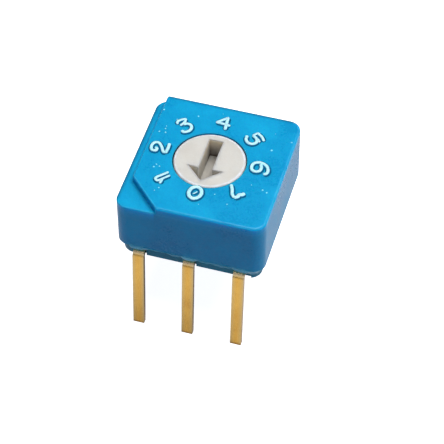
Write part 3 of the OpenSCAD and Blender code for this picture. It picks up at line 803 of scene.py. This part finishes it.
def rotorShell():
    # columns start at a kernel point inside the arrow slot, climb its wall, cross the head's top and go
    # down outside over flange and drum to the underside, which closes in the socket
    r = rotor
    hold = r["hold"]
    top = housing["top"]
    kernel = np.array([r["slotShift"], r["kernelY"]])
    ends = ((r["slotHalf"], r["slotTail"]), (r["slotHalf"], r["barbY"]), (r["barbHalf"], r["barbY"]))
    corners = [(sign * x, y) for x, y in ends for sign in (1, -1)] + [(0, -r["slotTip"])]
    evenly = np.linspace(-math.pi, math.pi, r["columns"], endpoint=False)
    exact = [math.atan2(y - r["kernelY"], x) for x, y in corners]
    ray = np.unique(np.concatenate([evenly, exact]).round(9))
    direction = np.stack([np.cos(ray), np.sin(ray)], -1)
    toward = direction @ kernel
    toHead = -toward + np.sqrt(toward ** 2 - kernel @ kernel + r["headR"] ** 2)
    rim = kernel + direction * toHead[:, None]
    angle = np.arctan2(rim[:, 1], rim[:, 0])
    rows, edge = [], []

    # the mask is the row's share of the near-white painted edge highlight
    def putSlot(reach, height, mask=0.0):
        flat = kernel + direction * np.broadcast_to(reach, ray.shape)[:, None]
        rows.append(np.concatenate([flat, np.full((len(ray), 1), height)], -1))
        edge.append(mask)

    def put(radius, height, mask=0.0):
        rows.append(ring(radius, height, angle))
        edge.append(mask)

    putSlot(0.0, r["slotFloor"])
    putSlot(arrowReach(ray, -r["floorRound"] - hold), r["slotFloor"])
    for away, drop in quarterTurn(r["floorRound"], r["floorSteps"]):
        putSlot(arrowReach(ray, -away), r["slotFloor"] + drop)
    for share in r["wallRows"]:
        putSlot(arrowReach(ray, 0.0), r["slotFloor"] + share * (top - r["slotFloor"]))
    putSlot(arrowReach(ray, 0.0), top - r["slotRound"] - hold)
    for away, drop in quarterTurn(r["slotRound"], r["slotSteps"])[::-1]:
        putSlot(arrowReach(ray, r["slotRound"] - away), top - drop, r["slotHighlight"])
    putSlot(arrowReach(ray, r["slotRound"] + hold), top)
    put(r["headR"] - r["headRound"] - r["rimFade"], top)
    put(r["headR"] - r["headRound"] - hold, top, r["rimHighlight"])
    for away, drop in quarterTurn(r["headRound"], r["headSteps"]):
        put(r["headR"] - away, top - drop, 1.0)
    put(r["headR"], top - r["headRound"] - hold, 1.0)
    put(r["headR"], r["flangeTop"])
    put(flangeRadius(angle), r["flangeTop"])
    put(flangeRadius(angle), r["flangeLow"])
    discTop = r["drumLow"] + r["discT"]
    for radius, height in ((r["drumR"], r["flangeLow"]), (r["drumR"], r["drumLow"]),
                           (r["discOut"], r["drumLow"]), (r["discOut"], discTop),
                           (r["discIn"], discTop), (r["discIn"], r["drumLow"]),
                           (r["socketR"], r["drumLow"]), (r["socketR"], r["socketTop"]),
                           (0.0, r["socketTop"])):
        put(radius, height)
    return closedShell(np.stack(rows), np.array(edge)[:, None], wrapRows=False)


def plugShell(bit, radius, start):
    # the drum's plastic in one gap of a code track: a square section carried round the axis over as
    # many positions as the bit is worth
    angle = np.radians(np.linspace(start, start + track["positionStep"] * bit, track["sections"]))[:, None]
    inner, outer = radius - track["width"] / 2, radius + track["width"] / 2
    low, high = rotor["drumLow"], rotor["drumLow"] + rotor["discT"] + track["intoDrum"]
    across = np.array([inner, outer, outer, inner])[None, :]
    height = np.array([low, low, high, high])[None, :]
    rows = np.stack([across * np.cos(angle), across * np.sin(angle), height + 0 * angle], -1)
    middle = rows[[0, -1]].mean(axis=1, keepdims=True).repeat(4, axis=1)
    return closedShell(np.concatenate([middle[:1], rows, middle[1:]]), 0.0, wrapRows=False)


plugs = [plugShell(bit, radius, spring + track["positionStep"] * (2 * bit * k - 0.5))
         for bit, radius, spring in codeTracks for k in range(4 // bit)]
rotorPiece = buildPiece("rotor_body", [rotorShell(), *plugs], "rotor", rotorPlastic,
                        ["rotor"])

# painted shade and painted light in the slot: the shares of each for walls and floor, with what its tail
# adds, and where along Y the tail starts
slotPaint = {"skin": 0.02, "floorSkin": 0.01, "rimDepth": 0.05, "floorDepth": 0.99, "falloff": 1.5,
             "darkFrom": 0.3, "darkSpan": 1.0, "wallDark": 0.55, "wallTail": 0.45, "floorDark": 0.3,
             "floorTail": 0.2, "glowFrom": -0.4, "glowSpan": 1.2, "glow": 0.2, "glowTail": 0.6}


def slotPoints(place):
    # which points lie nearer the axis than the head's rim, and how deep each is as a share of the slot
    inside = np.hypot(place[:, 0], place[:, 1]) < rotor["headR"] - rotor["headRound"] - slotPaint["skin"]
    return inside, np.clip((housing["top"] - place[:, 2]) / (housing["top"] - rotor["slotFloor"]), 0, 1)


def slotPaintedShade(place):
    # painted shade: walls are painted darker towards their feet, most at the tail; the floor is painted
    # darkest under the tail too
    p = slotPaint
    inside, deep = slotPoints(place)
    atTail = np.clip((place[:, 1] - p["darkFrom"]) / p["darkSpan"], 0, 1)
    wall = deep ** p["falloff"] * (p["wallDark"] + p["wallTail"] * atTail)
    floor = p["floorDark"] + p["floorTail"] * atTail
    inSlot = inside & (place[:, 2] > rotor["slotFloor"] - p["floorSkin"])
    return np.where(inSlot, np.where(deep > p["floorDepth"], floor, wall), 0.0)


def slotPaintedGlow(place):
    # painted light: a glow painted just below the slot's rim, which fades towards the floor
    p = slotPaint
    inside, deep = slotPoints(place)
    atTail = np.clip((place[:, 1] - p["glowFrom"]) / p["glowSpan"], 0, 1)
    inSlot = inside & (deep > p["rimDepth"]) & (deep < p["floorDepth"])
    return np.where(inSlot, (p["glow"] + p["glowTail"] * atTail) * (1 - deep) ** p["falloff"], 0.0)


# painted shade and painted glow in the rotor's slot, for each point
setMask(rotorPiece.data, "painted_shade", "POINT", slotPaintedShade(meshPlaces(rotorPiece.data)))
setMask(rotorPiece.data, "painted_glow", "POINT", slotPaintedGlow(meshPlaces(rotorPiece.data)))
print("rotor built:", len(rotorPiece.data.polygons), "faces")

# what the base and the leads add to their solids: rounded edges in millimetres, and where the leads'
# blanked sides get painted shade and their outer bends a painted highlight, as parts of the faces' normals
moulding = {"edgeRound": 0.02, "roundSegments": 2, "flatAngle": 0.5, "sharpAngle": 40, "mergeWithin": 0.001}
leads = {"pitch": 2.54, "half": 0.285, "cutFacing": 0.8, "bendFrom": 0.55, "bendSpan": 0.25,
         "bendOutward": 0.2, "bendShine": 0.8}


def softenedCopy(node, name, material):
    # the CAD solid with its corners merged, its flat faces joined and its edges slightly rounded
    mesh = frame["nodes"][node].data.copy()
    mesh.name = name
    mesh.materials.clear()
    work = bmesh.new()
    work.from_mesh(mesh)
    bmesh.ops.remove_doubles(work, verts=work.verts, dist=moulding["mergeWithin"] * mm)
    bmesh.ops.dissolve_limit(work, angle_limit=math.radians(moulding["flatAngle"]), verts=work.verts,
                             edges=work.edges)
    work.to_mesh(mesh)
    work.free()
    piece = finishMesh(name, mesh, frame["nodes"][node]["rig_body"], material, [node],
                       moulding["sharpAngle"])
    soft = piece.modifiers.new("softEdges", "BEVEL")
    soft.width = moulding["edgeRound"] * mm
    soft.segments = moulding["roundSegments"]
    soft.limit_method = "ANGLE"
    soft.angle_limit = math.radians(moulding["sharpAngle"])
    soft.harden_normals = True
    return piece


def paintLead(mesh):
    # painted shade on the sides that the blanking tool cut, which look along X, and a painted highlight on
    # the outer bend, which looks up and outwards; the leads stand at whole steps of the pitch, and each
    # point's distance from the middle of its own, as a share of half its width, shows where the edges roll
    # over, which get painted shading
    normals = np.empty(len(mesh.polygons) * 3, np.float32)
    mesh.polygons.foreach_get("normal", normals)
    x, y, z = normals.reshape(-1, 3).T
    upward = np.clip((z - leads["bendFrom"]) / leads["bendSpan"], 0, 1)
    setMask(mesh, "cut", "FACE", np.abs(x) > leads["cutFacing"])
    setMask(mesh, "bend", "FACE", leads["bendShine"] * upward * (np.abs(y) > leads["bendOutward"]))
    fromLead = (meshPlaces(mesh)[:, 0] + leads["pitch"] / 2) % leads["pitch"] - leads["pitch"] / 2
    setMask(mesh, "across", "POINT", np.clip(fromLead / leads["half"], -1, 1))


softenedCopy("base", "base_moulding", basePlastic)
for lead in ("1", "2", "4", "common"):
    paintLead(softenedCopy(f"terminal_{lead}", f"lead_{lead}", goldPlate).data)

# the resin: waves are how many go round the base, their phase and their share; each section runs from
# the base's side out, down and back, as shares of the reach and of the drop
bead = {
    "half": 3.505, "cornerR": 0.6, "reach": 0.19, "reachMost": 1.1, "drop": 0.42, "columns": 720,
    "waves": ((5, 1.0, 1.0), (11, 2.1, 1.0), (17, 0.0, 1.0), (31, 0.6, 0.7)), "wavesLow": 0.35,
    "uneven": 0.3, "swell": 0.45, "swellAt": -0.8, "swellSpan": 0.14, "blobReach": 0.2, "blobDrop": 0.345,
    "blobHalf": 0.4, "frontLeads": (-1, 0, 1), "backLeads": (-1, 0), "nearSide": 0.1, "edgeHighlight": 0.3,
    "hollow": (-0.1, 1.0, 0.97, 0.8, 0.55, 0.3, 0.12, 0.03, -0.1),
    "hollowDown": (-0.1, -0.1, 0.06, 0.2, 0.38, 0.6, 0.8, 1.0, 1.0),
    "bulge": (-0.1, 1.0, 1.06, 1.1, 1.04, 0.84, 0.5, 0.2, -0.1),
    "bulgeDown": (-0.1, -0.1, 0.15, 0.36, 0.6, 0.82, 0.95, 1.0, 1.0)}


def beadShell():
    # resin in the corner under the housing's edge: a hollow fillet section carried round the base, whose
    # drop swells and shrinks with a sum of slow waves and hangs lower at one corner; over each lead the
    # section turns into a round blob that lies on the lead's root
    b = bead
    turn = np.linspace(-math.pi, math.pi, b["columns"], endpoint=False)[:, None]
    waves = sum(share * np.sin(count * turn + phase) for count, phase, share in b["waves"])
    waves = waves / sum(share for count, phase, share in b["waves"]) - b["wavesLow"]
    swell = b["swell"] * np.exp(-((turn - b["swellAt"]) / b["swellSpan"]) ** 2)
    size = 1 + b["uneven"] * waves + swell
    wall = squareRadius(turn, b["half"], b["cornerR"])
    x, y = wall * np.cos(turn), wall * np.sin(turn)
    blob = np.zeros_like(turn)
    for side, places in ((-1, b["frontLeads"]), (1, b["backLeads"])):
        for place in places:
            near = np.exp(-((x - place * leads["pitch"]) / b["blobHalf"]) ** 4)
            blob = np.maximum(blob, near * (y * side > b["half"] - b["nearSide"]))
    hollow, hollowDown, bulge, bulgeDown = (
        np.array(b[key])[None, :] for key in ("hollow", "hollowDown", "bulge", "bulgeDown"))
    fillet = (1 - blob) * hollow * b["reach"] * np.minimum(size, b["reachMost"])
    across = fillet + blob * bulge * b["blobReach"]
    down = (1 - blob) * hollowDown * b["drop"] * size + blob * bulgeDown * b["blobDrop"]
    radius = squareRadius(turn, b["half"], b["cornerR"], -across)
    points = np.stack([radius * np.cos(turn), radius * np.sin(turn), housing["bottom"] - down], -1)
    # the edge mask is the same all over: a little pale painted highlight on the whole bead
    return closedShell(points, b["edgeHighlight"])


buildPiece("resin_bead", [beadShell()], "case", resinFinish, ["sealing_bead"], 80)

springs = [f"contact_spring_{name}" for name in ("1", "2", "4", "common")]
for material, nodeNames in ((sealRubber, ["o_ring"]), (goldPlate, ["code_disc", *springs]),
                            (springSteel, ["click_spring_left", "click_spring_right"])):
    for nodeName in nodeNames:
        mesh = frame["nodes"][nodeName].data
        mesh.materials.clear()
        mesh.materials.append(material)
print("base, leads and bead built")

# the floor's half width in millimetres, and its tone as the camera, reflections and scattered light
# each meet it; lamps have places and sizes in metres
studio = {"floorHalf": 400.0, "floorTone": 0.97, "floorShine": 0.82,
          "floorBounce": (0.18, 0.215, 0.315, 1.0), "floorGleam": 0.1, "floorGlow": 0.85,
          "floorRoughness": 0.8, "worldColour": (0.8, 0.86, 1.15, 1.0), "worldStrength": 0.13,
          "worldShine": 0.3}
lamps = {
    "keyLight": {"place": (0.03, 0.02, 0.155), "size": 0.14, "power": 0.27, "colour": (1, 1, 1)},
    "frontLight": {"place": (-0.025, -0.14, 0.075), "size": 0.1, "power": 0.0155,
                   "colour": (0.8, 0.92, 1.2)},
    "sideLight": {"place": (0.15, 0.01, 0.08), "size": 0.08, "power": 0.03, "colour": (0.75, 0.95, 1.2)}}


def areaLight(name, look):
    # a round lamp that faces the origin
    light = bpy.data.lights.new(name, "AREA")
    light.shape = "DISK"
    light.size = look["size"]
    light.energy = look["power"]
    light.color = look["colour"]
    lamp = bpy.data.objects.new(name, light)
    lamp.location = look["place"]
    toward = -np.array(look["place"])
    lamp.rotation_euler = (math.acos(-toward[2] / np.linalg.norm(toward)), 0,
                           math.atan2(toward[1], toward[0]) - math.pi / 2)
    scene.collection.objects.link(lamp)


def grey(value):
    return (value, value, value, 1.0)


def studioFloor():
    # a square at the height of the leads' tips, pale to the camera and a little bluer to the object
    half = studio["floorHalf"] * mm
    corners = [(x * half, y * half, cadLow[2]) for x, y in ((-1, -1), (1, -1), (1, 1), (-1, 1))]
    mesh = bpy.data.meshes.new("studio_floor")
    mesh.from_pydata(corners, [], [(0, 1, 2, 3)])
    material, tree, shader = newMaterial("studioFloor")
    path = addNode(tree, "ShaderNodeLightPath").outputs
    seen = addMix(tree, path["Is Camera Ray"], grey(studio["floorShine"]), grey(studio["floorTone"]))
    tone = addMix(tree, path["Is Diffuse Ray"], seen, studio["floorBounce"])
    tree.links.new(tone, shader.inputs["Base Color"])
    shader.inputs["Emission Color"].default_value = grey(1.0)
    gleam = addMath(tree, "MULTIPLY", path["Is Glossy Ray"], studio["floorGleam"])
    glow = addMath(tree, "MULTIPLY", path["Is Camera Ray"], studio["floorGlow"])
    tree.links.new(addMath(tree, "ADD", glow, gleam), shader.inputs["Emission Strength"])
    shader.inputs["Roughness"].default_value = studio["floorRoughness"]
    shader.inputs["Specular IOR Level"].default_value = 0.0
    mesh.materials.append(material)
    floor = bpy.data.objects.new("studio_floor", mesh)
    scene.collection.objects.link(floor)


def studioWorld():
    # soft light from all round, brighter in reflections
    world = bpy.data.worlds.new("studioWorld")
    world.use_nodes = True
    tree = world.node_tree
    background = tree.nodes["Background"]
    background.inputs["Color"].default_value = studio["worldColour"]
    glossy = addNode(tree, "ShaderNodeLightPath").outputs["Is Glossy Ray"]
    strength = addRange(tree, glossy, 0.0, 1.0, studio["worldStrength"], studio["worldShine"])
    tree.links.new(strength, background.inputs["Strength"])
    scene.world = world


studioFloor()
for lampName, look in lamps.items():
    areaLight(lampName, look)
studioWorld()
scene.view_settings.view_transform = "Standard"

# place in metres, tilt and turn in degrees
view = {"lens": 150, "sensor": 36, "near": 0.001, "place": (0.01773, -0.05878, 0.0692), "tilt": 41.301,
        "turn": 16.23}
camera = bpy.data.cameras.new("camera")
camera.lens = view["lens"]
camera.sensor_width = view["sensor"]
camera.clip_start = view["near"]
cameraObject = bpy.data.objects.new("camera", camera)
cameraObject.location = view["place"]
cameraObject.rotation_euler = (math.radians(view["tilt"]), 0, math.radians(view["turn"]))
scene.collection.objects.link(cameraObject)
scene.camera = cameraObject
print("studio ready")
